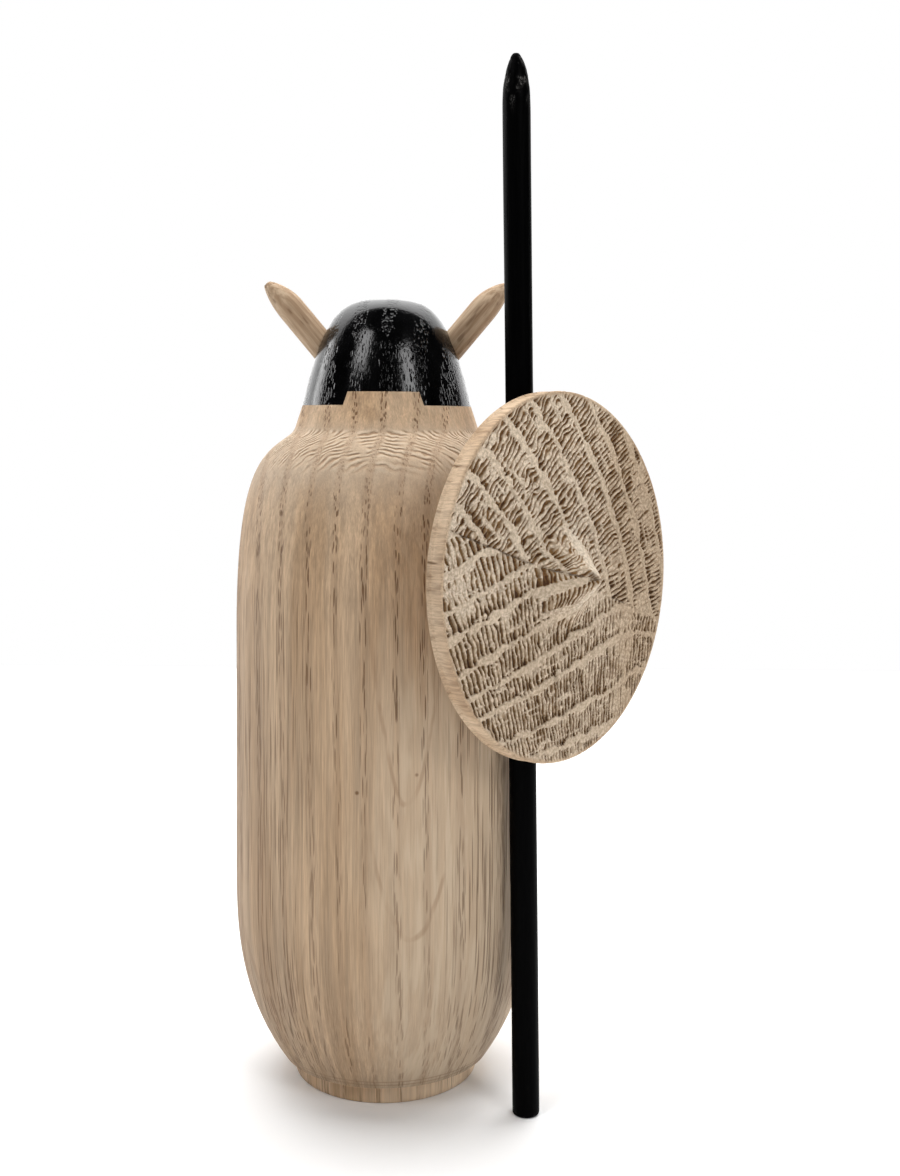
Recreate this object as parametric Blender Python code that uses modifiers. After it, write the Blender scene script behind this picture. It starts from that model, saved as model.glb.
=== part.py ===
"""A turned oak warrior figurine: a body with a painted helmet, two horns, a leaning spear and a shield.

The origin is at the centre of the foot's underside, on the body's axis. The figure looks along -Y.
Lengths are in metres and angles in radians.
"""
import math

import bpy
from mathutils import Vector

# Clearance kept between neighbouring pieces
GAP = 0.0003

# Body: the barrel, its foot and the curves above and below
BODY_RADIUS = 0.0277
FOOT_RADIUS = 0.0170
FOOT_HEIGHT = 0.0034
FOOT_FLARE = 0.0003
FOOT_EDGE = 0.0003
COVE_HEIGHT = 0.0007
BELLY_HEIGHT = 0.038
BELLY_TUCK = 0.0112
BELLY_POWER = 2.7
SIDE_HEIGHT = 0.042
SIDE_TAPER = 0.0005
SHOULDER_HEIGHT = 0.0382
SHOULDER_FULLNESS = 0.0330
SHOULDER_SHELF = 0.0062
SHOULDER_SLOPE = math.radians(36.7)
NECK_RADIUS = 0.0162
NECK_FILLET = 0.0030
NECK_HEIGHT = 0.0052

# Helmet: the head of the same turning, told apart by black paint
BRIM_HEIGHT = BELLY_HEIGHT + SIDE_HEIGHT + SHOULDER_HEIGHT + NECK_HEIGHT
BRIM_RADIUS = 0.0151
HELMET_HEIGHT = 0.0187
HELMET_SIDE_POWER = 0.97
HELMET_TOP_POWER = 0.268

# Horns: round pegs with a bullet tip
HORN_RADIUS = 0.00247
HORN_LENGTH = 0.0138
HORN_TIP_LENGTH = 0.0060
HORN_TIP_FLAT = 0.0007
HORN_EMBED = 0.006
HORN_ROOT_RISE = 0.0109
HORN_RISE = math.radians(50)

# Spear: a tapered stick that leans against the body
SPEAR_LENGTH = 0.1805
SPEAR_FOOT_RADIUS = 0.00236
SPEAR_TOP_RADIUS = 0.00232
SPEAR_TIP_LENGTH = 0.008
SPEAR_TIP_FLAT = 0.0004
SPEAR_EDGE = 0.0003
SPEAR_BEARING = math.radians(52.1)
SPEAR_LEAN = math.radians(1.7)
SPEAR_LEAN_ASIDE = math.radians(0.22)

# Shield: a disc with a pointed boss, flat against the outer side of the spear
SHIELD_RADIUS = 0.0314
SHIELD_RIM = 0.0032
SHIELD_EDGE = 0.0003
SHIELD_RISE = 0.0008
BOSS_RADIUS = 0.009
BOSS_HEIGHT = 0.0068
BOSS_POWER = 1.6
BOSS_TIP_RADIUS = 0.0009
SHIELD_HEIGHT = 0.0943
SHIELD_TURN = math.radians(3.15)
SHIELD_BEARING = SPEAR_BEARING - SHIELD_TURN
SHIELD_OFFSET = 0.0043

# Curvature of a stick's tip, from straight-sided to blunt
TIP_POWER = 1.5

# How finely the turnings and the curves of their outlines are cut
BODY_STEPS = 60
SHIELD_STEPS = 64
STICK_STEPS = 24
CROWN_POINTS = 12
SHOULDER_POINTS = 12
FILLET_POINTS = 4
BELLY_POINTS = 10
TIP_POINTS = 8
BOSS_POINTS = 10
BOSS_CROWDING = 1.3

# Points nearer than this are one point where an outline meets its axis
MERGE = 0.00001

# Finishes, as base colour and roughness
OAK = ((0.45, 0.31, 0.20), 0.72)
HORN_OAK = ((0.50, 0.36, 0.23), 0.68)
SHIELD_OAK = ((0.48, 0.36, 0.25), 0.80)
HELMET_PAINT = ((0.012, 0.012, 0.013), 0.35)
SPEAR_BLACK = ((0.012, 0.012, 0.013), 0.45)


def clear_scene():
    """Remove every object that is already in the scene."""
    for item in list(bpy.data.objects):
        bpy.data.objects.remove(item, do_unlink=True)


def new_collection(name):
    group = bpy.data.collections.new(name)
    bpy.context.scene.collection.children.link(group)
    return group


def new_material(name, finish):
    """A plain non-metallic finish of a colour and a roughness."""
    colour, roughness = finish
    material = bpy.data.materials.new(name)
    material.use_nodes = True
    shader = material.node_tree.nodes["Principled BSDF"]
    shader.inputs["Base Color"].default_value = (*colour, 1.0)
    shader.inputs["Roughness"].default_value = roughness
    shader.inputs["Metallic"].default_value = 0.0
    material.diffuse_color = (*colour, 1.0)
    return material


def arc(centre, radius, start, end, steps):
    """Points of an arc in the outline's plane, from one angle to another."""
    points = []
    for step in range(steps + 1):
        angle = start + (end - start) * step / steps
        points.append((centre[0] + radius * math.cos(angle), centre[1] + radius * math.sin(angle)))
    return points


def bezier(start, pull_out, pull_in, end, steps):
    """Points of a cubic curve between two ends, shaped by its two handles."""
    points = []
    for step in range(steps + 1):
        t = step / steps
        weights = ((1 - t) ** 3, 3 * t * (1 - t) ** 2, 3 * t * t * (1 - t), t ** 3)
        anchors = (start, pull_out, pull_in, end)
        points.append(tuple(sum(w * a[k] for w, a in zip(weights, anchors)) for k in (0, 1)))
    return points


def helmet_radius(height):
    """Radius of the head at a height above the brim."""
    share = min(1.0, height / HELMET_HEIGHT)
    return BRIM_RADIUS * (1.0 - share ** HELMET_SIDE_POWER) ** HELMET_TOP_POWER


def helmet_outline():
    """The head's outline from the crown to the brim, closer together towards the crown."""
    points = []
    for step in range(CROWN_POINTS + 1):
        share = math.cos(0.5 * math.pi * step / CROWN_POINTS)
        points.append((helmet_radius(share * HELMET_HEIGHT), BRIM_HEIGHT + share * HELMET_HEIGHT))
    return points


def belly_radius(height):
    """Radius of the lower body, which tucks in towards the foot."""
    below = max(0.0, (BELLY_HEIGHT - height) / BELLY_HEIGHT)
    return BODY_RADIUS - BELLY_TUCK * below ** BELLY_POWER


def neck_flare(fillet_centre):
    """Angle from the vertical of the neck's side, which runs from the brim straight into its fillet."""
    reach = Vector(fillet_centre) - Vector((BRIM_RADIUS, BRIM_HEIGHT))
    return math.acos(NECK_FILLET / reach.length) - math.atan2(-reach.y, reach.x)


def shoulder_outline():
    """From the neck through its fillet and over the shoulder to the barrel's side."""
    fillet_run = NECK_FILLET * (1.0 - math.sin(SHOULDER_SLOPE))
    edge = Vector((NECK_RADIUS + fillet_run, BELLY_HEIGHT + SIDE_HEIGHT + SHOULDER_HEIGHT))
    centre = (NECK_RADIUS + NECK_FILLET, edge.y + NECK_FILLET * math.cos(SHOULDER_SLOPE))
    start = math.pi + neck_flare(centre)
    fillet = arc(centre, NECK_FILLET, start, 1.5 * math.pi - SHOULDER_SLOPE, FILLET_POINTS)
    shelf = edge + SHOULDER_SHELF * Vector((math.cos(SHOULDER_SLOPE), -math.sin(SHOULDER_SLOPE)))
    side = Vector((BODY_RADIUS - SIDE_TAPER, BELLY_HEIGHT + SIDE_HEIGHT))
    corner = side + Vector((0.0, SHOULDER_FULLNESS))
    return fillet[:-1] + bezier(edge, shelf, corner, side, SHOULDER_POINTS)


def belly_outline():
    """From the barrel's side down to the cove above the foot."""
    points = []
    for step in range(BELLY_POINTS + 1):
        height = BELLY_HEIGHT + (FOOT_HEIGHT + COVE_HEIGHT - BELLY_HEIGHT) * step / BELLY_POINTS
        points.append((belly_radius(height), height))
    return points


def body_outline():
    """The whole turning from the crown down its outer side to the middle of the underside."""
    foot = [
        (FOOT_RADIUS + FOOT_FLARE, FOOT_HEIGHT),
        (FOOT_RADIUS, FOOT_EDGE),
        (FOOT_RADIUS - FOOT_EDGE, 0.0),
        (0.0, 0.0),
    ]
    return helmet_outline() + shoulder_outline() + belly_outline() + foot


def stick_outline(tip_flat, shaft_radius, root_radius, length, tip_length):
    """A round stick's outer side from its blunt tip down to its root."""
    points = [(0.0, length)]
    for step in range(TIP_POINTS + 1):
        share = step / TIP_POINTS
        radius = tip_flat + (shaft_radius - tip_flat) * math.sin(0.5 * math.pi * share)
        points.append((radius, length - share ** TIP_POWER * tip_length))
    points.append((root_radius, 0.0))
    return points


def boss_rise(distance):
    """How far the pointed boss stands above the shield's face at a distance from the middle."""
    reach = math.hypot(BOSS_RADIUS, BOSS_TIP_RADIUS) - BOSS_TIP_RADIUS
    share = (math.hypot(distance, BOSS_TIP_RADIUS) - BOSS_TIP_RADIUS) / reach
    return BOSS_HEIGHT * max(0.0, 1.0 - share) ** BOSS_POWER


def shield_outline():
    """The shield's outline from the point of the boss over the rim to the middle of the back."""
    face_radius = SHIELD_RADIUS - SHIELD_EDGE
    points = []
    for step in range(BOSS_POINTS + 1):
        distance = BOSS_RADIUS * (step / BOSS_POINTS) ** BOSS_CROWDING
        face = SHIELD_RIM + SHIELD_RISE * (1.0 - distance / face_radius)
        points.append((distance, face + boss_rise(distance)))
    points += [
        (face_radius, SHIELD_RIM),
        (SHIELD_RADIUS, SHIELD_RIM - SHIELD_EDGE),
        (SHIELD_RADIUS, SHIELD_EDGE),
        (face_radius, 0.0),
        (0.0, 0.0),
    ]
    return points


def turned(name, outline, steps, group, material):
    """Spin an outline of (radius, height) points about Z."""
    mesh = bpy.data.meshes.new(name)
    vertices = [(radius, 0.0, height) for radius, height in outline]
    edges = [(index, index + 1) for index in range(len(vertices) - 1)]
    mesh.from_pydata(vertices, edges, [])
    mesh.materials.append(material)
    item = bpy.data.objects.new(name, mesh)
    group.objects.link(item)
    screw = item.modifiers.new("Screw", "SCREW")
    screw.axis = "Z"
    screw.angle = math.tau
    screw.steps = steps
    screw.render_steps = steps
    screw.use_merge_vertices = True
    screw.merge_threshold = MERGE
    screw.use_smooth_shade = True
    return item


def point_along(item, origin, direction):
    """Place an object so that its own Z axis runs along a direction."""
    item.location = origin
    item.rotation_mode = "QUATERNION"
    item.rotation_quaternion = Vector(direction).to_track_quat("Z", "Y")


def bearing_vector(bearing):
    """Level unit vector at a bearing from the figure's front, towards +X."""
    return Vector((math.sin(bearing), -math.cos(bearing), 0.0))


def spear_radius(height):
    """Radius of the spear's shaft at a height."""
    return SPEAR_FOOT_RADIUS + (SPEAR_TOP_RADIUS - SPEAR_FOOT_RADIUS) * height / SPEAR_LENGTH


def spear_foot():
    """Where the spear stands, as near to the body as the clearance lets it lean."""
    distance = max(
        radius + GAP + spear_radius(height) / math.cos(SPEAR_LEAN) + height * math.tan(SPEAR_LEAN)
        for radius, height in body_outline())
    foot = bearing_vector(SPEAR_BEARING) * distance
    foot.z = SPEAR_FOOT_RADIUS * math.sin(SPEAR_LEAN)
    return foot


def spear_direction():
    """Unit vector up the spear, which leans in towards the body and a little to its side."""
    outward = bearing_vector(SPEAR_BEARING)
    aside = Vector((-outward.y, outward.x, 0.0))
    lean = aside * math.tan(SPEAR_LEAN_ASIDE) - outward * math.tan(SPEAR_LEAN)
    lean.z = 1.0
    return lean.normalized()


def make_body(group, oak, paint):
    """The body with its head, one piece of oak, painted black above the brim."""
    body = turned("body", body_outline(), BODY_STEPS, group, oak)
    graph = bpy.context.evaluated_depsgraph_get()
    mesh = bpy.data.meshes.new_from_object(body.evaluated_get(graph))
    body.modifiers.clear()
    body.data = mesh
    mesh.materials.append(paint)
    for face in mesh.polygons:
        face.material_index = 1 if face.center.z > BRIM_HEIGHT else 0


def make_horns(group, cutters, oak):
    """Two horns, coped to the helmet's sides."""
    clearance = [(radius + GAP, height) for radius, height in helmet_outline()[1:]]
    clearance.insert(0, (0.0, BRIM_HEIGHT + HELMET_HEIGHT + GAP))
    clearance.append((0.0, BRIM_HEIGHT))
    cutter = turned("helmet_clearance", clearance, BODY_STEPS, cutters, oak)
    cutter.hide_render = True
    cutter.display_type = "WIRE"
    outline = stick_outline(
        HORN_TIP_FLAT, HORN_RADIUS, HORN_RADIUS, HORN_LENGTH + HORN_EMBED, HORN_TIP_LENGTH)
    outline.append((0.0, 0.0))
    for name, side in (("horn_left", -1.0), ("horn_right", 1.0)):
        horn = turned(name, outline, STICK_STEPS, group, oak)
        direction = Vector((side * math.cos(HORN_RISE), 0.0, math.sin(HORN_RISE)))
        root = Vector((side * helmet_radius(HORN_ROOT_RISE), 0.0, BRIM_HEIGHT + HORN_ROOT_RISE))
        point_along(horn, root - direction * HORN_EMBED, direction)
        cope = horn.modifiers.new("Cope", "BOOLEAN")
        cope.operation = "DIFFERENCE"
        cope.object = cutter


def make_spear(group, black):
    """The spear, with the edge of its foot rounded off."""
    outline = stick_outline(
        SPEAR_TIP_FLAT, SPEAR_TOP_RADIUS, SPEAR_FOOT_RADIUS, SPEAR_LENGTH, SPEAR_TIP_LENGTH)
    outline[-1] = (SPEAR_FOOT_RADIUS, SPEAR_EDGE)
    outline += [(SPEAR_FOOT_RADIUS - SPEAR_EDGE, 0.0), (0.0, 0.0)]
    spear = turned("spear", outline, STICK_STEPS, group, black)
    point_along(spear, spear_foot(), spear_direction())


def make_shield(group, oak):
    """The shield, with its back parallel to the spear's shaft."""
    shield = turned("shield", shield_outline(), SHIELD_STEPS, group, oak)
    along = spear_direction()
    level = bearing_vector(SHIELD_BEARING)
    normal = (level - along * level.dot(along)).normalized()
    aside = Vector((math.cos(SHIELD_BEARING), math.sin(SHIELD_BEARING), 0.0))
    on_spear = spear_foot() + along * (SHIELD_HEIGHT / along.z)
    thickest = spear_radius(SHIELD_HEIGHT - SHIELD_RADIUS)
    point_along(shield, on_spear + aside * SHIELD_OFFSET + normal * (thickest + GAP), normal)


def main():
    clear_scene()
    group = new_collection("viking_warrior_statue")
    cutters = new_collection("cutters")
    make_body(group, new_material("oak", OAK), new_material("helmet_paint", HELMET_PAINT))
    make_horns(group, cutters, new_material("horn_oak", HORN_OAK))
    make_spear(group, new_material("spear_black", SPEAR_BLACK))
    make_shield(group, new_material("shield_oak", SHIELD_OAK))


main()
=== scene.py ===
"""The looks of the turned oak warrior: fine turned meshes, cut grain, paint, light and camera.

Every piece repeats the turned outlines of the solid that it stands for and adds the relief of the wood.
Lengths are in metres and angles in radians. The figure looks along -Y.
"""
from itertools import product
from math import acos, asin, atan2, cos, hypot, pi, radians, sin, tan, tau

import bpy
import numpy as np
from mathutils import Matrix, Vector


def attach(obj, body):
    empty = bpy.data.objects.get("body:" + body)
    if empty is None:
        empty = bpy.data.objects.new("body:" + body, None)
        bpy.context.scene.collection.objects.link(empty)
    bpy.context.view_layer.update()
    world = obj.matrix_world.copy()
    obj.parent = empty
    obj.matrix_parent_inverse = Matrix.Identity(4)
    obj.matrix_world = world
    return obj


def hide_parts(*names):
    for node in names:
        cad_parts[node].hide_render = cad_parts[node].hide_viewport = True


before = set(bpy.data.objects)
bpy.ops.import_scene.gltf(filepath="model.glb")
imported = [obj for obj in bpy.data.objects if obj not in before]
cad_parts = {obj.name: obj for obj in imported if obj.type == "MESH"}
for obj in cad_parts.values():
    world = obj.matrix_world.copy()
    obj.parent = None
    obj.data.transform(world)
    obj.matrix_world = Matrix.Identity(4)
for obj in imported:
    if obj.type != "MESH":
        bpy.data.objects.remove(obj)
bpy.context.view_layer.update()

MM = 0.001
GAP = 0.0003

# Body outline, as the solid has it
BODY_RADIUS = 0.0277
FOOT_RADIUS = 0.017
FOOT_HEIGHT = 0.0034
FOOT_FLARE = 0.0003
FOOT_EDGE = 0.0003
COVE_HEIGHT = 0.0007
BELLY_HEIGHT = 0.038
BELLY_TUCK = 0.0112
BELLY_POWER = 2.7
SIDE_HEIGHT = 0.042
SIDE_TAPER = 0.0005
SHOULDER_HEIGHT = 0.0382
SHOULDER_FULLNESS = 0.033
SHOULDER_SHELF = 0.0062
SHOULDER_SLOPE = radians(36.7)
NECK_RADIUS = 0.0162
NECK_FILLET = 0.003
NECK_HEIGHT = 0.0052
BRIM_HEIGHT = BELLY_HEIGHT + SIDE_HEIGHT + SHOULDER_HEIGHT + NECK_HEIGHT
BRIM_RADIUS = 0.0151
HELMET_HEIGHT = 0.0187
HELMET_SIDE_POWER = 0.97
HELMET_TOP_POWER = 0.268

# Bare notch in the helmet's paint, over the brow
NOTCH_HEIGHT = 0.0023
NOTCH_HALF_AT_BRIM = 0.0069
NOTCH_HALF_AT_TOP = 0.0061

# Horns
HORN_RADIUS = 0.00247
HORN_LENGTH = 0.0142
HORN_TIP_LENGTH = 0.0064
HORN_TIP_FLAT = 0.0006
HORN_ROOT_RISE = 0.0109
HORN_RISE = radians(50)
HORN_SUNK = 0.0014
HORN_TIP_DROP = 0.0005
HORN_TIP_POWER = 1.25

# Spear
SPEAR_LENGTH = 0.1805
SPEAR_FOOT_RADIUS = 0.00236
SPEAR_TOP_RADIUS = 0.00232
SPEAR_TIP_LENGTH = 0.008
SPEAR_TIP_FLAT = 0.0004
SPEAR_EDGE = 0.0003
SPEAR_BEARING = radians(52.1)
SPEAR_LEAN = radians(1.7)
SPEAR_LEAN_ASIDE = radians(0.22)
TIP_POWER = 1.5
TIP_CAP = 0.00002

# Shield
SHIELD_RADIUS = 0.0314
SHIELD_RIM = 0.0032
SHIELD_EDGE = 0.0003
FACE_RADIUS = SHIELD_RADIUS - SHIELD_EDGE
SHIELD_RISE = 0.0008
BOSS_RADIUS = 0.009
BOSS_HEIGHT = 0.0068
BOSS_POWER = 1.6
BOSS_TIP_RADIUS = 0.0009
SHIELD_HEIGHT = 0.0943
SHIELD_BEARING = SPEAR_BEARING - radians(3.15)
SHIELD_OFFSET = 0.0043

# Growth rings of the body: where they cross the front of the barrel, and how they run from there
RING_PLANES = tuple(MM * x for x in (-30, -24, -18.3, -12.4, -7.3, -2.4, 3.0, 7.2, 12.6, 17.8, 23.4, 29.5))
RING_FRONT = -0.025
RING_LEVEL = 0.105
RING_SLANT = 0.1
RING_LEAN = 0.017
RING_BOW = 4.0
RING_WIDTH = 0.0053
RAY_WIDTH = 0.00074
BELLY_FOLLOW = 0.78

# Growth rings of the shield's upper half, as distances from a pith beyond its lower left
UPPER_PITH = (-0.057, -0.0256)
UPPER_RINGS = tuple(MM * r for r in (42.5, 48.8, 54.8, 59.6, 66.8, 73.0, 79.7, 85.3, 91.0, 97.0))
# Growth rings of its lower half, as heights at its middle, and the point that their rays run from
LOWER_RINGS = tuple(MM * r for r in (-34.5, -28.6, -23.5, -16.0, -10.9, -5.4, 0.9, 5.4, 11.4, 17.0))
LOWER_SLOPE = 0.283
LOWER_PITH = (0.01, -0.1)
JOINT_SLOPE = radians(-18.3)
LOWER_REACH = 0.09
# Furrow pitch of the upper half from its first ring to its last, and of the lower half
UPPER_FURROWS = (0.00092, 0.00092, 0.00082, 0.0007)
LOWER_FURROWS = 0.001
# The ridge above the boss's tip, painted pale as a highlight where it catches the light, and the curl below
# it: place at the tip, slant and bend
RIDGE_PLACE = 0.0003
RIDGE_SLANT = 0.16
CURL_PLACE = 0.0005
CURL_BEND = 60.0
TORN_PLACE = (-0.0007, 0.0005)
# Drying cracks across the rim: their bearings in the disc, from its right, counter-clockwise
RIM_CRACKS = (radians(141.6), radians(171.4))
RIM_CROWN = 0.0004

# Length of the shoulder's slope that the rays cross as ripples
SLOPE_LENGTH = 0.0115

# Depths of the relief
RIPPLE_DEPTH = 0.00013
PORE_DEPTH = 0.0001
FURROW_DEPTH = 0.00042
JOINT_DEPTH = 0.00018
FACE_WAVES = 0.00005
BAND_LUMPS = 0.00003
TORN_DEPTH = 0.0004
RIM_PORE_DEPTH = 0.00007
HORN_PORE_DEPTH = 0.00004
FACET_DEPTH = 0.00009
FACET_START = 0.00005
SHAFT_WAVES = 0.00002
SHAFT_FIBRES = 0.000025

# How finely the meshes are cut
BODY_COLUMNS = 560
SHIELD_CELLS = 280
STICK_COLUMNS = 96


def ramp(low, high, value):
    """0 below low, 1 above high and a smooth rise between."""
    share = np.clip((value - low) / (high - low), 0.0, 1.0)
    return share * share * (3.0 - 2.0 * share)


def lattice(ix, iy, iz, seed):
    """A repeatable number from -1 to 1 for each whole-numbered place."""
    mixed = (ix * 374761393 + iy * 668265263 + iz * 1440662683 + seed * 974634777) & 0xFFFFFFFF
    mixed = (mixed ^ (mixed >> 13)) & 0xFFFFFFFF
    mixed = (mixed * 1274126177) & 0xFFFFFFFF
    mixed = mixed ^ (mixed >> 16)
    return mixed / 0x7FFFFFFF - 1.0


def noise(x, y, z, cell, seed):
    """Smooth noise from -1 to 1 whose cells have the given sizes along x, y and z."""
    whole = []
    part = []
    for value, size in zip((x, y, z), cell):
        scaled = np.asarray(value, dtype=float) / size
        floor = np.floor(scaled)
        whole.append(floor.astype(np.int64))
        share = scaled - floor
        part.append(share * share * (3.0 - 2.0 * share))
    total = 0.0
    for steps in product((0, 1), repeat=3):
        weight = 1.0
        for share, step in zip(part, steps):
            weight = weight * (share if step else 1.0 - share)
        corner = [place + step for place, step in zip(whole, steps)]
        total = total + weight * lattice(*corner, seed)
    return total


def rough_noise(x, y, z, coarse, fine, seed):
    """Noise with half as much of a finer one on top."""
    return noise(x, y, z, coarse, seed) + 0.5 * noise(x, y, z, fine, seed + 1)


def flat_noise(x, y, sizes, seed, layer=0.0):
    """Noise over a plane, another pattern for each layer."""
    return noise(x, y, layer, (*sizes, 1.0), seed)


def as_points(x, y, z):
    return np.stack((x, y, z), axis=-1).reshape(-1, 3)


def new_object(name, data):
    item = bpy.data.objects.new(name, data)
    bpy.context.scene.collection.objects.link(item)
    return item


def new_mesh(name, points, faces, place=None, materials=None, marks=None, grain=None):
    """A smooth-shaded mesh object with marks on its points.

    Its grain is where its points are before they are put in place, unless it is given.
    """
    mesh = bpy.data.meshes.new(name)
    mesh.from_pydata(points.tolist(), [], faces)
    mesh.shade_smooth()
    if materials is not None:
        mesh.polygons.foreach_set("material_index", materials)
    layer = mesh.attributes.new("grain", "FLOAT_VECTOR", "POINT")
    grain = points if grain is None else grain
    layer.data.foreach_set("vector", np.asarray(grain, dtype=np.float32).ravel())
    for key, values in (marks or {}).items():
        layer = mesh.attributes.new(key, "FLOAT", "POINT")
        layer.data.foreach_set("value", np.asarray(values, dtype=np.float32))
    if place is not None:
        mesh.transform(place)
    mesh.update()
    return new_object(name, mesh)


def lathe_faces(rows, columns):
    """Faces of a turning whose first and last points are single and whose rows between are rings."""
    faces = []
    last = 1 + rows * columns
    for column in range(columns):
        after = (column + 1) % columns
        faces.append((0, 1 + column, 1 + after))
        for row in range(rows - 1):
            upper = 1 + row * columns
            lower = upper + columns
            faces.append((upper + column, lower + column, lower + after, upper + after))
        bottom = 1 + (rows - 1) * columns
        faces.append((bottom + column, last, bottom + after))
    return faces


def outline_normals(radius, height):
    """Outward normals of an outline that runs down its outer side."""
    across = np.gradient(radius)
    down = np.gradient(height)
    length = np.hypot(across, down)
    return -down / length, across / length


def joined(*parts):
    """Radii and heights of several parts of an outline as one."""
    return [np.concatenate(values) for values in zip(*parts)]


def helmet_radius(height):
    share = np.minimum(1.0, height / HELMET_HEIGHT)
    return BRIM_RADIUS * (1.0 - share ** HELMET_SIDE_POWER) ** HELMET_TOP_POWER


def helmet_rows(count):
    """Crown to brim, with the notch's top and corners on a row."""
    share = np.cos(0.5 * np.pi * np.arange(count + 1) / count)
    rise = share * HELMET_HEIGHT
    rise[np.argmin(np.abs(rise - NOTCH_HEIGHT))] = NOTCH_HEIGHT
    return helmet_radius(rise), BRIM_HEIGHT + rise


def shoulder_rows(neck_count, fillet_count, slope_count, side_count):
    """Neck, fillet and shoulder down to the barrel's side, closest together on the slope."""
    top = BELLY_HEIGHT + SIDE_HEIGHT + SHOULDER_HEIGHT
    edge = np.array((NECK_RADIUS + NECK_FILLET * (1.0 - sin(SHOULDER_SLOPE)), top))
    centre = np.array((NECK_RADIUS + NECK_FILLET, top + NECK_FILLET * cos(SHOULDER_SLOPE)))
    reach = centre - np.array((BRIM_RADIUS, BRIM_HEIGHT))
    flare = acos(NECK_FILLET / np.hypot(*reach)) - atan2(-reach[1], reach[0])
    angles = np.linspace(pi + flare, 1.5 * pi - SHOULDER_SLOPE, fillet_count, endpoint=False)
    fillet_radius = centre[0] + NECK_FILLET * np.cos(angles)
    fillet_height = centre[1] + NECK_FILLET * np.sin(angles)
    neck = np.linspace(0.0, 1.0, neck_count, endpoint=False)[1:]
    neck_radius = BRIM_RADIUS + (fillet_radius[0] - BRIM_RADIUS) * neck
    neck_height = BRIM_HEIGHT + (fillet_height[0] - BRIM_HEIGHT) * neck
    shelf = edge + SHOULDER_SHELF * np.array((cos(SHOULDER_SLOPE), -sin(SHOULDER_SLOPE)))
    side = np.array((BODY_RADIUS - SIDE_TAPER, BELLY_HEIGHT + SIDE_HEIGHT))
    corner = side + np.array((0.0, SHOULDER_FULLNESS))
    t = np.linspace(0.0, 1.0, 2001)[:, None]
    fine = (1 - t) ** 3 * edge + 3 * t * (1 - t) ** 2 * shelf + 3 * t * t * (1 - t) * corner + t ** 3 * side
    length = np.concatenate(([0.0], np.cumsum(np.hypot(*np.diff(fine, axis=0).T))))
    stops = np.concatenate((np.linspace(0.0, SLOPE_LENGTH, slope_count, endpoint=False),
                            np.linspace(SLOPE_LENGTH, length[-1], side_count)))
    curve = [np.interp(stops, length, fine[:, axis]) for axis in (0, 1)]
    return joined((neck_radius, neck_height), (fillet_radius, fillet_height), curve)


def belly_rows(side_count, belly_count):
    """The barrel's straight side and the belly's tuck down to the cove."""
    side = np.linspace(0.0, 1.0, side_count, endpoint=False)[1:]
    side_radius = BODY_RADIUS - SIDE_TAPER * (1.0 - side)
    side_height = BELLY_HEIGHT + SIDE_HEIGHT * (1.0 - side)
    height = np.linspace(BELLY_HEIGHT, FOOT_HEIGHT + COVE_HEIGHT, belly_count)
    below = (BELLY_HEIGHT - height) / BELLY_HEIGHT
    radius = BODY_RADIUS - BELLY_TUCK * below ** BELLY_POWER
    return joined((side_radius, side_height), (radius, height))


def foot_rows():
    """Foot wall with softened edges, and its flat underside."""
    wall_top = FOOT_RADIUS + FOOT_FLARE
    soft = 0.4 * FOOT_EDGE
    radius = [wall_top + soft, wall_top, wall_top - soft, FOOT_RADIUS + soft, FOOT_RADIUS,
              FOOT_RADIUS - 0.3 * FOOT_EDGE, FOOT_RADIUS - FOOT_EDGE, FOOT_RADIUS - 1.4 * FOOT_EDGE,
              0.7 * FOOT_RADIUS, 0.35 * FOOT_RADIUS]
    height = [FOOT_HEIGHT + 0.5 * soft, FOOT_HEIGHT - 0.5 * soft, FOOT_HEIGHT - 2 * soft,
              4 * FOOT_EDGE, FOOT_EDGE, 0.3 * FOOT_EDGE, 0.0, 0.0, 0.0, 0.0]
    return np.array(radius), np.array(height)


def ring_count(x, y, z):
    """How many growth rings lie to the left of a point of the body, as a smooth number."""
    wander = 0.00035 * noise(x, y, z, (0.008, 0.008, 0.03), 11)
    across = (x - RING_SLANT * (y - RING_FRONT) + RING_LEAN * (z - RING_LEVEL)
              + RING_BOW * (y * y - RING_FRONT ** 2) + wander)
    return np.interp(across, RING_PLANES, np.arange(len(RING_PLANES)))


def notch_turn(angle, radius, height):
    """Turn the columns near the notch so that two of them follow its slanted sides."""
    step = tau / BODY_COLUMNS
    rise = np.clip((height - BRIM_HEIGHT) / NOTCH_HEIGHT, 0.0, 1.0)
    half = NOTCH_HALF_AT_BRIM + (NOTCH_HALF_AT_TOP - NOTCH_HALF_AT_BRIM) * rise
    wanted = np.arcsin(np.clip(half / np.maximum(radius, 1.2 * half), 0.0, 1.0))
    column = round(asin(NOTCH_HALF_AT_BRIM / BRIM_RADIUS) / step)
    border = column * step
    reach = 2.2 * border
    near = ramp(0.012, 0.004, np.abs(height - BRIM_HEIGHT))
    target = border + (wanted - border) * near
    size = np.abs(angle)
    inside = size * target / border
    outside = target + (size - border) * (reach - target) / (reach - border)
    turned = np.where(size <= border, inside, np.where(size < reach, outside, size))
    return np.sign(angle) * turned, column


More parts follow.
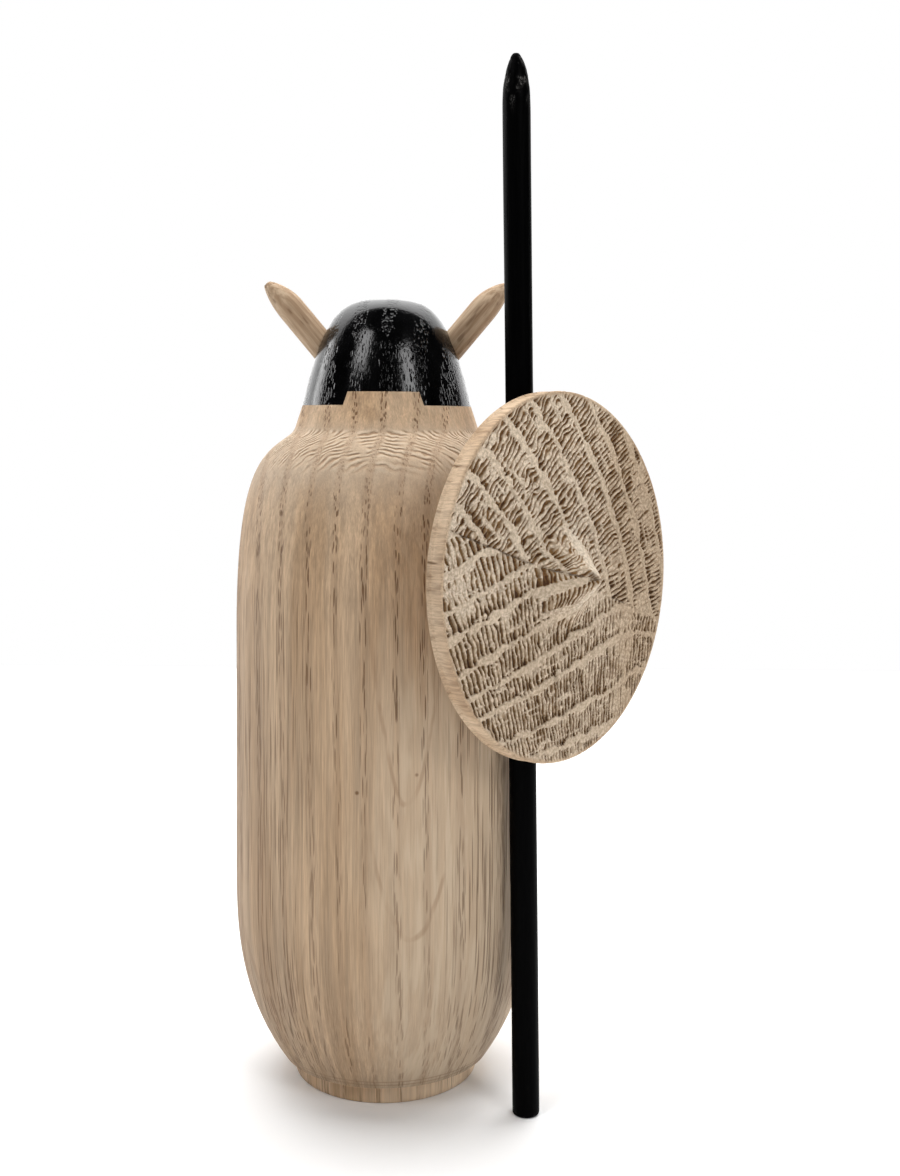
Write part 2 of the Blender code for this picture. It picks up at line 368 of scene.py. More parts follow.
def wood_relief(x, y, z, rings, upward):
    """The shoulder's ripples as phase and strength, the pores, and where the slope is."""
    from_ring = np.abs(rings - np.round(rings)) * RING_WIDTH
    in_zone = ramp(0.0011, 0.0004, from_ring)
    below_brim = ramp(BRIM_HEIGHT - 0.0015, BRIM_HEIGHT - 0.0045, z)
    sloped = ramp(0.4, 0.62, upward) * below_brim
    bent = (y + 0.0004 * noise(x, y, z, (0.0022, 0.0016, 0.004), 21)
            + 0.00018 * noise(x, y, z, (0.0008, 0.0008, 0.002), 22))
    patchy = ramp(-0.7, 0.2, noise(x, y, z, (0.0015, 0.0008, 0.002), 23))
    ripple = sloped * patchy * (1.0 - 0.75 * in_zone)
    knobbly = rough_noise(x, y, z, (0.0005, 0.00055, 0.0009), (0.0003, 0.0003, 0.0006), 24)
    pore = ramp(0.15, 0.75, knobbly) * in_zone * sloped
    return bent / RAY_WIDTH, ripple, pore, ramp(0.1, 0.46, upward) * below_brim


def make_body(oak, paint):
    """The turned body and head, with the shoulder's ripples and the pores cut into the surface."""
    radius, height = joined(helmet_rows(36), shoulder_rows(6, 8, 66, 25), belly_rows(6, 18), foot_rows())
    out, up = outline_normals(radius, height)
    radius, height, out, up = radius[1:], height[1:], out[1:], up[1:]
    rows = len(radius)
    angle = (np.arange(BODY_COLUMNS) / BODY_COLUMNS - 0.5) * tau
    turned, column = notch_turn(angle[None, :], radius[:, None], height[:, None])
    sine, cosine = np.sin(turned), -np.cos(turned)
    x, y = radius[:, None] * sine, radius[:, None] * cosine
    z = np.broadcast_to(height[:, None], x.shape)
    # The fibres bend in with the belly, so the grain is nearly that of a straight barrel
    belly = ramp(BELLY_HEIGHT + 0.01, BELLY_HEIGHT - 0.012, height)
    straight = (1.0 + BELLY_FOLLOW * belly * (BODY_RADIUS / radius - 1.0))[:, None]
    grain = (x * straight, y * straight, z)
    rings = ring_count(*grain)
    phase, ripple, pore, sloped = wood_relief(x, y, z, rings, np.broadcast_to(up[:, None], x.shape))
    on_foot = ramp(FOOT_HEIGHT + 0.004, FOOT_HEIGHT + 0.008, z)
    painted = ramp(BRIM_HEIGHT - 0.0002, BRIM_HEIGHT + 0.0004, z)
    crown = ramp(0.002, 0.006, np.hypot(x, y))
    wave = ramp(0.3, 0.9, 0.5 + 0.5 * np.sin(tau * phase))
    pore = pore * (1.0 - painted) * on_foot * crown
    cut = on_foot * crown * RIPPLE_DEPTH * ripple * wave + PORE_DEPTH * pore
    x, y, z = x - cut * out[:, None] * sine, y - cut * out[:, None] * cosine, z - cut * up[:, None]
    ends = ((0.0, 0.0, BRIM_HEIGHT + HELMET_HEIGHT), (0.0, 0.0, 0.0))
    points = np.concatenate((ends[:1], as_points(x, y, z), ends[1:]))
    faces = lathe_faces(rows, BODY_COLUMNS)
    brim_row = int(np.argmin(np.abs(height - BRIM_HEIGHT)))
    notch_row = int(np.argmin(np.abs(height - BRIM_HEIGHT - NOTCH_HEIGHT)))
    middle = BODY_COLUMNS // 2
    materials = []
    for place in range(BODY_COLUMNS):
        in_notch = middle - column <= place < middle + column
        bare_from = notch_row if in_notch else brim_row
        materials += [1] * (bare_from + 1) + [0] * (rows - bare_from)
    rings = np.concatenate(([ring_count(*ends[0])], rings.ravel(), [ring_count(*ends[1])]))
    grain = np.concatenate((ends[:1], as_points(*grain), ends[1:]))
    marks = {"rings": rings}
    for key, values in (("phase", phase), ("ripple", ripple), ("pore", pore), ("slope", sloped)):
        marks[key] = np.concatenate(([0.0], values.ravel(), [0.0]))
    body = new_mesh("warrior_body", points, faces, None, materials, marks, grain)
    body.data.materials.append(oak)
    body.data.materials.append(paint)
    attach(body, "root")
    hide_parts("body")


def stick_rows(tip_flat, shaft_radius, root_radius, length, tip_length, tip_power, counts):
    """A round stick's outline from its tip down to its root, with counts of rows for tip and shaft."""
    tip_count, shaft_count = counts
    share = np.linspace(0.0, 1.0, tip_count)
    tip_radius = tip_flat + (shaft_radius - tip_flat) * np.sin(0.5 * np.pi * share)
    tip_height = length - share ** tip_power * tip_length
    cap = np.array((0.35, 0.75)) * tip_flat
    along = np.linspace(0.0, 1.0, shaft_count)[1:]
    shaft = shaft_radius + (root_radius - shaft_radius) * along
    shaft_height = (length - tip_length) * (1.0 - along)
    return joined((cap, np.full(2, length + TIP_CAP)), (tip_radius, tip_height), (shaft, shaft_height))


def place_along(origin, direction):
    """The move that puts the origin somewhere and turns Z along a direction."""
    turn = Vector(direction).to_track_quat("Z", "Y").to_matrix().to_4x4()
    return Matrix.Translation(origin) @ turn


def stick_object(name, radius, height, place, material, shape):
    """A turned stick whose rings are changed by a shaping function, put in place."""
    out, up = outline_normals(radius, height)
    angle = np.arange(STICK_COLUMNS) / STICK_COLUMNS * tau
    x = radius[:, None] * np.cos(angle)
    y = radius[:, None] * np.sin(angle)
    z = np.broadcast_to(height[:, None], x.shape)
    x, y, z, marks = shape(x, y, z, out[:, None] * np.cos(angle), out[:, None] * np.sin(angle), up[:, None])
    top = (x[0].mean(), y[0].mean(), z[0].mean())
    foot = (x[-1].mean(), y[-1].mean(), z[-1].mean())
    points = np.concatenate(([top], as_points(x, y, z), [foot]))
    marks = np.concatenate(([marks[0].mean()], marks.ravel(), [marks[-1].mean()]))
    item = new_mesh(name, points, lathe_faces(len(radius), STICK_COLUMNS), place, None, {"marks": marks})
    item.data.materials.append(material)
    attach(item, "root")
    return item


def make_horns(oak):
    """Two oak pegs let into the helmet, each with its tip a little nearer its outer side."""
    length = HORN_LENGTH + HORN_SUNK
    radius, height = stick_rows(HORN_TIP_FLAT, HORN_RADIUS, HORN_RADIUS, length, HORN_TIP_LENGTH,
                                HORN_TIP_POWER, (40, 60))
    for name, node, side, seed in (("peg_horn_left", "horn_left", -1.0, 41),
                                   ("peg_horn_right", "horn_right", 1.0, 57)):
        direction = Vector((side * cos(HORN_RISE), 0.0, sin(HORN_RISE)))
        outer = Vector((side * sin(HORN_RISE), 0.0, -cos(HORN_RISE)))
        turn = direction.to_track_quat("Z", "Y").to_matrix()
        local_outer = turn.inverted() @ outer

        def shape(x, y, z, nx, ny, nz):
            """Lean the tip to the outer side and open the grain."""
            tip = np.clip((z - (length - HORN_TIP_LENGTH)) / HORN_TIP_LENGTH, 0.0, 1.0) ** 2
            grain = rough_noise(x, y, z, (0.0004, 0.0004, 0.003), (0.0002, 0.0002, 0.0015), seed)
            pore = ramp(0.45, 0.9, grain)
            cut = HORN_PORE_DEPTH * pore
            drop = HORN_TIP_DROP * tip
            return (x - cut * nx + drop * local_outer.x, y - cut * ny + drop * local_outer.y,
                    z - cut * nz, pore)

        root = Vector((side * float(helmet_radius(HORN_ROOT_RISE)), 0.0, BRIM_HEIGHT + HORN_ROOT_RISE))
        place = place_along(root - direction * HORN_SUNK, direction)
        horn = stick_object(name, radius, height, place, oak, shape)
        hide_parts(node)


def bearing_vector(bearing):
    return Vector((sin(bearing), -cos(bearing), 0.0))


def spear_radius(height):
    return SPEAR_FOOT_RADIUS + (SPEAR_TOP_RADIUS - SPEAR_FOOT_RADIUS) * height / SPEAR_LENGTH


def spear_foot():
    """Where the spear stands, leaning as near to the body as the clearance lets it."""
    radius, height = joined(shoulder_rows(2, 4, 2, 12), belly_rows(2, 11))
    reach = radius + GAP + spear_radius(height) / cos(SPEAR_LEAN) + height * tan(SPEAR_LEAN)
    foot = bearing_vector(SPEAR_BEARING) * float(reach.max())
    foot.z = SPEAR_FOOT_RADIUS * sin(SPEAR_LEAN)
    return foot


def spear_direction():
    outward = bearing_vector(SPEAR_BEARING)
    aside = Vector((-outward.y, outward.x, 0.0))
    lean = aside * tan(SPEAR_LEAN_ASIDE) - outward * tan(SPEAR_LEAN)
    lean.z = 1.0
    return lean.normalized()


def make_spear(black):
    """The black stick, its tip hand-cut and rubbed bare in specks."""
    radius, height = stick_rows(SPEAR_TIP_FLAT, SPEAR_TOP_RADIUS, SPEAR_FOOT_RADIUS, SPEAR_LENGTH,
                                SPEAR_TIP_LENGTH, TIP_POWER, (60, 260))
    foot_radius = (SPEAR_FOOT_RADIUS, SPEAR_FOOT_RADIUS - 0.3 * SPEAR_EDGE,
                   SPEAR_FOOT_RADIUS - SPEAR_EDGE, 0.5 * SPEAR_FOOT_RADIUS)
    foot_height = (SPEAR_EDGE, 0.3 * SPEAR_EDGE, 0.0, 0.0)
    radius, height = joined((radius[:-1], height[:-1]), (foot_radius, foot_height))

    def shape(x, y, z, nx, ny, nz):
        """Knife facets on the tip and long shallow hollows down the shaft."""
        near_tip = ramp(SPEAR_LENGTH - 1.3 * SPEAR_TIP_LENGTH, SPEAR_LENGTH - 0.4 * SPEAR_TIP_LENGTH, z)
        rough = rough_noise(x, y, z, (0.001, 0.001, 0.0016), (0.0004, 0.0004, 0.0007), 61)
        long_wave = noise(x, y, z, (0.0016, 0.0016, 0.02), 63)
        fibre = ramp(0.3, 0.8, noise(x, y, z, (0.0004, 0.0004, 0.005), 64))
        cut = near_tip * (FACET_DEPTH * rough + FACET_START) + SHAFT_WAVES * long_wave
        cut = (cut + SHAFT_FIBRES * fibre * (1 - near_tip)) * ramp(0.0, 0.001, z)
        bare = near_tip * ramp(0.0, 0.8, rough)
        return x - cut * nx, y - cut * ny, z - np.maximum(cut, 0.0) * nz, bare

    place = place_along(spear_foot(), spear_direction())
    spear = stick_object("black_spear", radius, height, place, black, shape)
    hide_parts("spear")


def boss_rise(distance):
    """How far the pointed boss stands above the shield's face."""
    reach = hypot(BOSS_RADIUS, BOSS_TIP_RADIUS) - BOSS_TIP_RADIUS
    share = (np.hypot(distance, BOSS_TIP_RADIUS) - BOSS_TIP_RADIUS) / reach
    return BOSS_HEIGHT * np.maximum(0.0, 1.0 - share) ** BOSS_POWER


def face_height(distance):
    return SHIELD_RIM + SHIELD_RISE * (1.0 - distance / FACE_RADIUS) + boss_rise(distance)


def half_grain(x, y):
    """Place across the rings, and angle about the pith, for each half of the shield's board."""
    above = y - tan(JOINT_SLOPE) * x > 0.0
    upper_distance = np.hypot(x - UPPER_PITH[0], y - UPPER_PITH[1])
    upper_angle = np.arctan2(y - UPPER_PITH[1], x - UPPER_PITH[0])
    # The lower rings level out downwards, and bend down on the right, close under the joint
    slope = LOWER_SLOPE + 13.5 * np.minimum(0.0, y + 0.014)
    below_joint = np.maximum(0.0, tan(JOINT_SLOPE) * x - y)
    bend = 0.5 * np.maximum(0.0, x - 0.0155) * np.clip(1.0 - below_joint / 0.012, 0.0, 1.0)
    lower_distance = y - slope * x + bend
    lower_angle = np.arctan2(x - LOWER_PITH[0], y - LOWER_PITH[1])
    return above, upper_distance, upper_angle, lower_distance, lower_angle


def shield_relief(x, y):
    """The furrows between the hard ring bands as phase and lift, the bands, and the open joint."""
    above, upper_distance, upper_angle, lower_distance, lower_angle = half_grain(x, y)
    along = np.where(above, upper_angle * UPPER_RINGS[5], lower_angle * LOWER_REACH)
    across = np.where(above, upper_distance, lower_distance)
    brick = 0.00042 * flat_noise(along, across, (0.0026, 0.009), 71)
    brick += 0.0003 * flat_noise(along, across, (0.0008, 0.0026), 72)
    moved = across + brick
    halves = (UPPER_RINGS, LOWER_RINGS)
    index = np.where(above, *(np.interp(moved, rings, np.arange(len(rings))) for rings in halves))
    gap = np.where(above, *(np.interp(moved, rings[:-1], np.diff(rings)) for rings in halves))
    nearest = np.round(index)
    number = np.floor(index)
    outward = (index - nearest) * gap
    past = (index - number) * gap
    half_band = 0.00046 + 0.00032 * flat_noise(along, nearest, (0.0022, 1.0), 73)
    band = ramp(half_band + 0.0002, half_band - 0.00012, np.abs(outward))
    # Furrows run outward from each band, widest where they start, and more of them on longer bands
    layer = 3.0 * number
    warp = np.where(above, 0.55 + 0.55 * ramp(0.01, -0.004, x), 0.6)
    swing = warp * 0.00044 * flat_noise(along, across, (0.0018, 0.0019), 74, layer)
    swing += (0.00008 + 0.00012 * warp) * flat_noise(along, across, (0.0007, 0.0009), 75, layer)
    width = np.where(above, np.interp(number, (0.0, 4.0, 6.0, 9.0), UPPER_FURROWS), LOWER_FURROWS)
    ring_radius = np.interp(number, np.arange(len(UPPER_RINGS)), UPPER_RINGS)
    length = np.where(above, upper_angle * ring_radius, along)
    phase = (length + swing) / width + 0.37 * number
    broken = flat_noise(along, across, (0.0007, 0.002), 76, layer)
    broken += 0.35 * flat_noise(along, across, (0.0004, 0.0007), 77, layer)
    start = ramp(0.0026, 0.0005, past)
    bridge = ramp(0.5, 0.8, flat_noise(along, across, (0.0026, 0.0006), 78, layer))
    calm = ramp(-0.35, -0.85, flat_noise(along, across, (0.008, 0.006), 79))
    beside_boss = ramp(0.001, 0.006, x) * ramp(0.016, 0.008, y) * ramp(-0.014, -0.008, y)
    lift = 0.52 * broken + 0.34 * start - 0.05 - 0.9 * bridge - 2.0 * band - 0.5 * calm - 0.14 * beside_boss
    from_joint = np.abs(y * cos(JOINT_SLOPE) - x * sin(JOINT_SLOPE)
                        + 0.00016 * flat_noise(x, y, (0.0016, 0.0016), 80))
    broken_joint = ramp(-0.5, 0.3, flat_noise(x, y, (0.0021, 0.0021), 81))
    crack = ramp(0.00026, 0.00006, from_joint) * ramp(0.001, -0.004, x) * broken_joint
    return phase, lift, band, 0.6 * crack


def disc_grid(cells, radius):
    """A square grid bent into a disc, as x and y of its points."""
    steps = np.linspace(-1.0, 1.0, cells + 1)
    a, b = np.meshgrid(steps, steps)
    x = a * np.sqrt(1.0 - 0.5 * b * b)
    y = b * np.sqrt(1.0 - 0.5 * a * a)
    return radius * x, radius * y


def boss_marks(x, y):
    """The ridge up from the boss's tip, which is painted pale as a highlight, with the curl of hard wood
    below it, and the torn pit.
    """
    above_tip = ramp(0.0004, 0.0012, y) * ramp(0.011, 0.006, y)
    below_tip = ramp(-0.0004, -0.001, y) * ramp(-0.006, -0.004, y)
    ridge = above_tip * ramp(0.0019, 0.0008, np.abs(x - RIDGE_SLANT * y - RIDGE_PLACE))
    curl = below_tip * ramp(0.0013, 0.0005, np.abs(x - CURL_PLACE + CURL_BEND * (y + 0.001) ** 2))
    torn = 0.0004 * flat_noise(x, y, (0.0005, 0.0005), 85)
    torn = torn + 0.0002 * flat_noise(x, y, (0.00025, 0.00025), 87)
    pit = ramp(0.0012, 0.0004, np.hypot(x - TORN_PLACE[0], y - TORN_PLACE[1]) + torn)
    return np.maximum(ridge, curl), pit


def shield_face(x, y):
    """Heights of the brushed face, and its marks for the material."""
    distance = np.hypot(x, y)
    phase, lift, band, crack = shield_relief(x, y)
    ridge_and_curl, pit = boss_marks(x, y)
    lift = lift - 0.15 * ramp(0.006, 0.003, distance) - 0.6 * ridge_and_curl
    # Furrows run twice as close on the boss's left flank
    finer = ramp(0.0085, 0.005, distance) * ramp(0.001, -0.001, x)
    wave = np.sin(tau * phase)
    wave += finer * (np.sin(2.0 * tau * phase + 1.0) - wave)
    furrow = ramp(0.46, 0.8, 0.5 + 0.5 * wave + lift) * (1.0 - 0.5 * finer)
    margin = ramp(FACE_RADIUS, SHIELD_RADIUS - 0.0009, distance)
    waves = flat_noise(x, y, (0.006, 0.006), 86)
    lumps = flat_noise(x, y, (0.0007, 0.0007), 88)
    drop = FURROW_DEPTH * furrow + JOINT_DEPTH * crack + FACE_WAVES * waves + BAND_LUMPS * band * lumps
    height = face_height(distance) - (margin * drop + TORN_DEPTH * pit)
    return height, {"phase": phase, "lift": lift, "band": band, "on_face": margin,
                    "dark": np.maximum(crack, 0.8 * pit), "ridge_and_curl": ridge_and_curl, "finer": finer}


def rim_outline():
    """The rim's rounded edges and wall, and the plain back, from the face down and in."""
    turns = np.linspace(0.0, 0.5 * pi, 4)[1:]
    top, wall = SHIELD_RIM - SHIELD_EDGE, SHIELD_RIM - 2 * SHIELD_EDGE
    outline = [(FACE_RADIUS + SHIELD_EDGE * sin(a), SHIELD_RIM - SHIELD_EDGE * (1 - cos(a)))
               for a in turns]
    outline += [(SHIELD_RADIUS, top - wall * share) for share in np.linspace(0, 1, 7)[1:]]
    outline += [(FACE_RADIUS + SHIELD_EDGE * cos(a), SHIELD_EDGE * (1 - sin(a))) for a in turns]
    return outline + [(FACE_RADIUS * share, 0.0) for share in (0.985, 0.9, 0.6, 0.2)]


def rim_mark(x, y, height):
    """Open pores and drying cracks of the rim at one height, and how far down the rim it is."""
    level = np.full_like(x, height)
    deep = np.clip(1.0 - height / SHIELD_RIM, 0.0, 1.0)
    mark = ramp(0.25, 0.85, noise(x, y, level, (0.00045, 0.00045, 0.003), 91))
    bearing = np.arctan2(y, x)
    wander = 0.006 * noise(x, y, level, (0.01, 0.01, 0.0008), 92)
    for middle in RIM_CRACKS:
        crack = ramp(0.0085, 0.0025, np.abs(bearing - middle + wander))
        mark = np.maximum(mark, 1.8 * crack * ramp(0.0, 0.7, deep))
    return mark, deep


def make_shield(oak):
    """The shield: a brushed face with its pointed boss, a turned rim and a plain back."""
    x, y = disc_grid(SHIELD_CELLS, FACE_RADIUS)
    z, face_marks = shield_face(x, y)
    count = SHIELD_CELLS + 1
    points = [as_points(x, y, z)]
    grid = np.arange(count * count).reshape(count, count)
    corners = (grid[:-1, :-1], grid[:-1, 1:], grid[1:, 1:], grid[1:, :-1])
    faces = np.stack(corners, axis=-1).reshape(-1, 4).tolist()
    # The grid's outer loop, counter-clockwise as seen from the front
    loop = np.concatenate((grid[0, :-1], grid[:-1, -1], grid[-1, :0:-1], grid[:0:-1, 0]))
    loop_x, loop_y = x.ravel()[loop], y.ravel()[loop]
    length = np.hypot(loop_x, loop_y)
    unit_x, unit_y = loop_x / length, loop_y / length
    previous = loop
    start = count * count
    rim_marks = [np.zeros(count * count)]
    for radius, height in rim_outline():
        rx, ry = radius * unit_x, radius * unit_y
        mark, deep = rim_mark(rx, ry, height)
        on_rim = float(height > SHIELD_EDGE and radius > FACE_RADIUS)
        cut = (RIM_PORE_DEPTH * mark + RIM_CROWN * deep ** 2) * on_rim
        points.append(as_points(rx - cut * unit_x, ry - cut * unit_y, np.full_like(rx, height)))
        rim_marks.append(0.5 * mark * float(radius > FACE_RADIUS))
        current = np.arange(start, start + len(loop))
        start += len(loop)
        sides = (previous, current, np.roll(current, -1), np.roll(previous, -1))
        faces += np.stack(sides, axis=-1).tolist()
        previous = current
    points.append(np.zeros((1, 3)))
    rim_marks.append(np.zeros(1))
    faces += [(int(a), start, int(b)) for a, b in zip(previous, np.roll(previous, -1))]
    marks = {"rim_mark": np.concatenate(rim_marks)}
    for key, values in face_marks.items():
        marks[key] = np.zeros(start + 1)
        marks[key][:count * count] = values.ravel()
    along = spear_direction()
    level = bearing_vector(SHIELD_BEARING)
    normal = (level - along * level.dot(along)).normalized()
    aside = Vector((cos(SHIELD_BEARING), sin(SHIELD_BEARING), 0.0))
    right = (aside - normal * aside.dot(normal)).normalized()
    above = normal.cross(right)
    on_spear = spear_foot() + along * (SHIELD_HEIGHT / along.z)
    thickest = spear_radius(SHIELD_HEIGHT - SHIELD_RADIUS)
    turn = Matrix((right, above, normal)).transposed().to_4x4()
    place = Matrix.Translation(on_spear + aside * SHIELD_OFFSET + normal * (thickest + GAP)) @ turn
    shield = new_mesh("round_shield", np.concatenate(points), faces, place, None, marks)
    shield.data.materials.append(oak)
    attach(shield, "root")
    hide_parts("shield")


class Nodes:
    """Short calls that add nodes to one tree."""

    def __init__(self, tree):
        self.tree = tree

    def put(self, socket, value):
        if isinstance(value, bpy.types.NodeSocket):
            self.tree.links.new(value, socket)
        else:
            socket.default_value = value

    def node(self, kind, entries=(), **settings):
        """A new shader node with its settings, and values or sockets in its inputs."""
        item = self.tree.nodes.new("ShaderNode" + kind)
        for key, value in settings.items():
            setattr(item, key, value)
        for key, value in entries:
            self.put(item.inputs[key], value)
        return item

    def math(self, operation, *values):
        return self.node("Math", enumerate(values), operation=operation).outputs[0]

    def times(self, a, b):
        return self.math("MULTIPLY", a, b)

    def plus(self, a, b):
        return self.math("ADD", a, b)

    def minus(self, a, b):
        return self.math("SUBTRACT", a, b)

    def apart(self, a, b=0.0):
        """How far two numbers are from each other."""
        return self.math("ABSOLUTE", self.minus(a, b))

    def line(self, value, slope, start):
        """A value times a slope, from a start."""
        return self.math("MULTIPLY_ADD", value, slope, start)

    def swing(self, value, size):
        """A value from 0 to 1 as a change about zero of the given size in all."""
        return self.line(value, size, -0.5 * size)

    def step(self, value, low, high, to_low=0.0, to_high=1.0):
        """A smooth change from one number to another as a value passes a range."""
        keys = ("Value", "From Min", "From Max", "To Min", "To Max")
        entries = zip(keys, (value, low, high, to_low, to_high))
        return self.node("MapRange", entries, interpolation_type="SMOOTHSTEP").outputs["Result"]

    def choose(self, share, a, b):
        """One number at a share of 0 and another at a share of 1."""
        return self.node("Mix", ((0, share), (2, a), (3, b)), data_type="FLOAT").outputs[0]

    def axes(self, vector):
        """A vector's X, Y and Z."""
        return self.node("SeparateXYZ", ((0, vector),)).outputs


class Finish(Nodes):
    """The same for a material, whose textures follow the piece's own grain in millimetres."""

    def __init__(self, name):
        self.material = bpy.data.materials.new(name)
        self.material.use_nodes = True
        super().__init__(self.material.node_tree)
        grain = self.node("Attribute", attribute_name="grain").outputs["Vector"]
        self.place = self.gain(grain, 1.0 / MM)

    def attribute(self, name):
        return self.node("Attribute", attribute_name=name).outputs["Fac"]

    def cells(self, sizes):
        """Coordinates in cells of the given sizes."""
        entries = ((0, self.place), (1, sizes))
        return self.node("VectorMath", entries, operation="DIVIDE").outputs[0]

    def noise(self, sizes, detail=2.0, rough=0.5, distortion=0.0):
        entries = (("Vector", self.cells(sizes)), ("Scale", 1.0), ("Detail", detail),
                   ("Roughness", rough), ("Distortion", distortion))
        return self.node("TexNoise", entries).outputs["Fac"]

    def spots(self, sizes, edge, core):
        """Scattered spots, one to a cell, that fade from their core to their edge."""
        entries = (("Vector", self.cells(sizes)), ("Scale", 1.0))
        item = self.node("TexVoronoi", entries, feature="F1")
        return self.step(item.outputs["Distance"], edge, core)

    def mix(self, share, a, b, blend="MIX"):
        entries = [(0, share)]
        for key, value in ((6, a), (7, b)):
            entries.append((key, value if isinstance(value, bpy.types.NodeSocket) else (*value, 1.0)))
        return self.node("Mix", entries, data_type="RGBA", blend_type=blend).outputs[2]

    def gain(self, colour, factor):
        """A colour times a number."""
        entries = ((0, colour), ("Scale", factor))
        return self.node("VectorMath", entries, operation="SCALE").outputs[0]

    def shade(self, colour, value, low, high, to_low, to_high):
        """A colour times a number that changes as a value passes a range."""
        return self.gain(colour, self.step(value, low, high, to_low, to_high))

    def ring_distance(self):
        """How far a point is from the nearest growth ring, in ring widths."""
        shifted = self.math("FRACT", self.plus(self.attribute("rings"), 0.5))
        return self.apart(shifted, 0.5)

    def furrows(self):
        """The wave of the mesh's furrows."""
        return self.math("SINE", self.times(self.attribute("phase"), tau))

    def bump(self, height, distance):
        return self.node("Bump", (("Distance", distance), ("Height", height))).outputs["Normal"]

    def finish(self, colour, roughness, normal, specular):
        inputs = self.tree.nodes["Principled BSDF"].inputs
        for key, value in (("Base Color", colour), ("Roughness", roughness), ("Normal", normal),
                           ("Specular IOR Level", specular)):
            self.put(inputs[key], value)
        return self.material


# Wood and paint, as linear base colours; a pair is mixed by a soft pattern
BODY_OAKS = ((0.43, 0.285, 0.166), (0.51, 0.362, 0.232))
OAK_DEEP = (0.28, 0.166, 0.09)
# Paler wood low on the right, partly the rays' tone and partly painted light
RIGHT_LIGHT_PALE = (0.57, 0.445, 0.318)
PORE_BROWN = (0.14, 0.066, 0.026)
# Paler slope, partly its end grain's tone and partly a painted sheen of light from above
SLOPE_SHEEN_PALE = (0.58, 0.47, 0.358)
FLECK_PALE = (0.62, 0.49, 0.35)
# Painted highlight on the crests of the shoulder's ripples
RIPPLE_CREST_HIGHLIGHT = (0.68, 0.56, 0.42)
PAINT_BLACKS = ((0.0008, 0.0008, 0.0009), (0.0018, 0.0018, 0.002))
HORN_OAKS = ((0.36, 0.235, 0.14), (0.56, 0.415, 0.28))
STICK_BLACKS = ((0.0003, 0.0003, 0.0004), (0.0009, 0.0009, 0.001))
RUBBED_GREY = (0.22, 0.21, 0.2)
FACE_OAKS = ((0.432, 0.303, 0.186), (0.552, 0.414, 0.28))
FACE_WARMTH = (0.79, 0.73, 0.66)
# Painted highlight on the shield's crests
CREST_HIGHLIGHT_PALE = (0.72, 0.61, 0.48)
BAND_PALE = (0.56, 0.445, 0.315)
# Painted highlight on the boss's ridge, and the pale curl of hard wood
RIDGE_HIGHLIGHT_AND_CURL_PALE = (0.67, 0.575, 0.455)
FURROW_BROWNS = ((0.15, 0.062, 0.012), (0.255, 0.14, 0.054))
# Painted shade in the deepest part of the furrows
FURROW_DEEP_SHADE = (0.058, 0.019, 0.003)
TORN_BROWN = (0.08, 0.038, 0.013)
RIM_OAKS = ((0.47, 0.325, 0.205), (0.59, 0.44, 0.3))
RIM_BROWN = (0.15, 0.08, 0.036)
BACK_OAKS = ((0.4, 0.27, 0.165), (0.56, 0.412, 0.278))
FLOOR_WHITES = ((0.86, 0.86, 0.86), (0.88, 0.88, 0.88))

# Marks on the body, in millimetres
# Faint growth curves on the belly: middle, lowest point and steepness
GROWTH_CURVES = ((-19.0, 17.5, 0.36), (5.5, 33.0, 0.42), (4.6, 58.0, 0.75))
# Heights of fine turned lines above the foot
FOOT_LINES = (4.9, 5.7)
# Painted light and shade by height: the belly darker towards the bottom as painted shade, the foot lighter
# as painted light against the shade under the body, and the neck lighter: two heights, and the gain at each
LEVEL_LIGHT_AND_SHADE = ((42.0, 20.0, 1.0, 0.9), (4.4, 3.4, 1.0, 1.54), (116.8, 119.0, 1.0, 1.16))
# Small dark specks on the barrel's front
SPECKS = ((6.3, -27.0, 62.5), (-3.7, -27.4, 59.5))


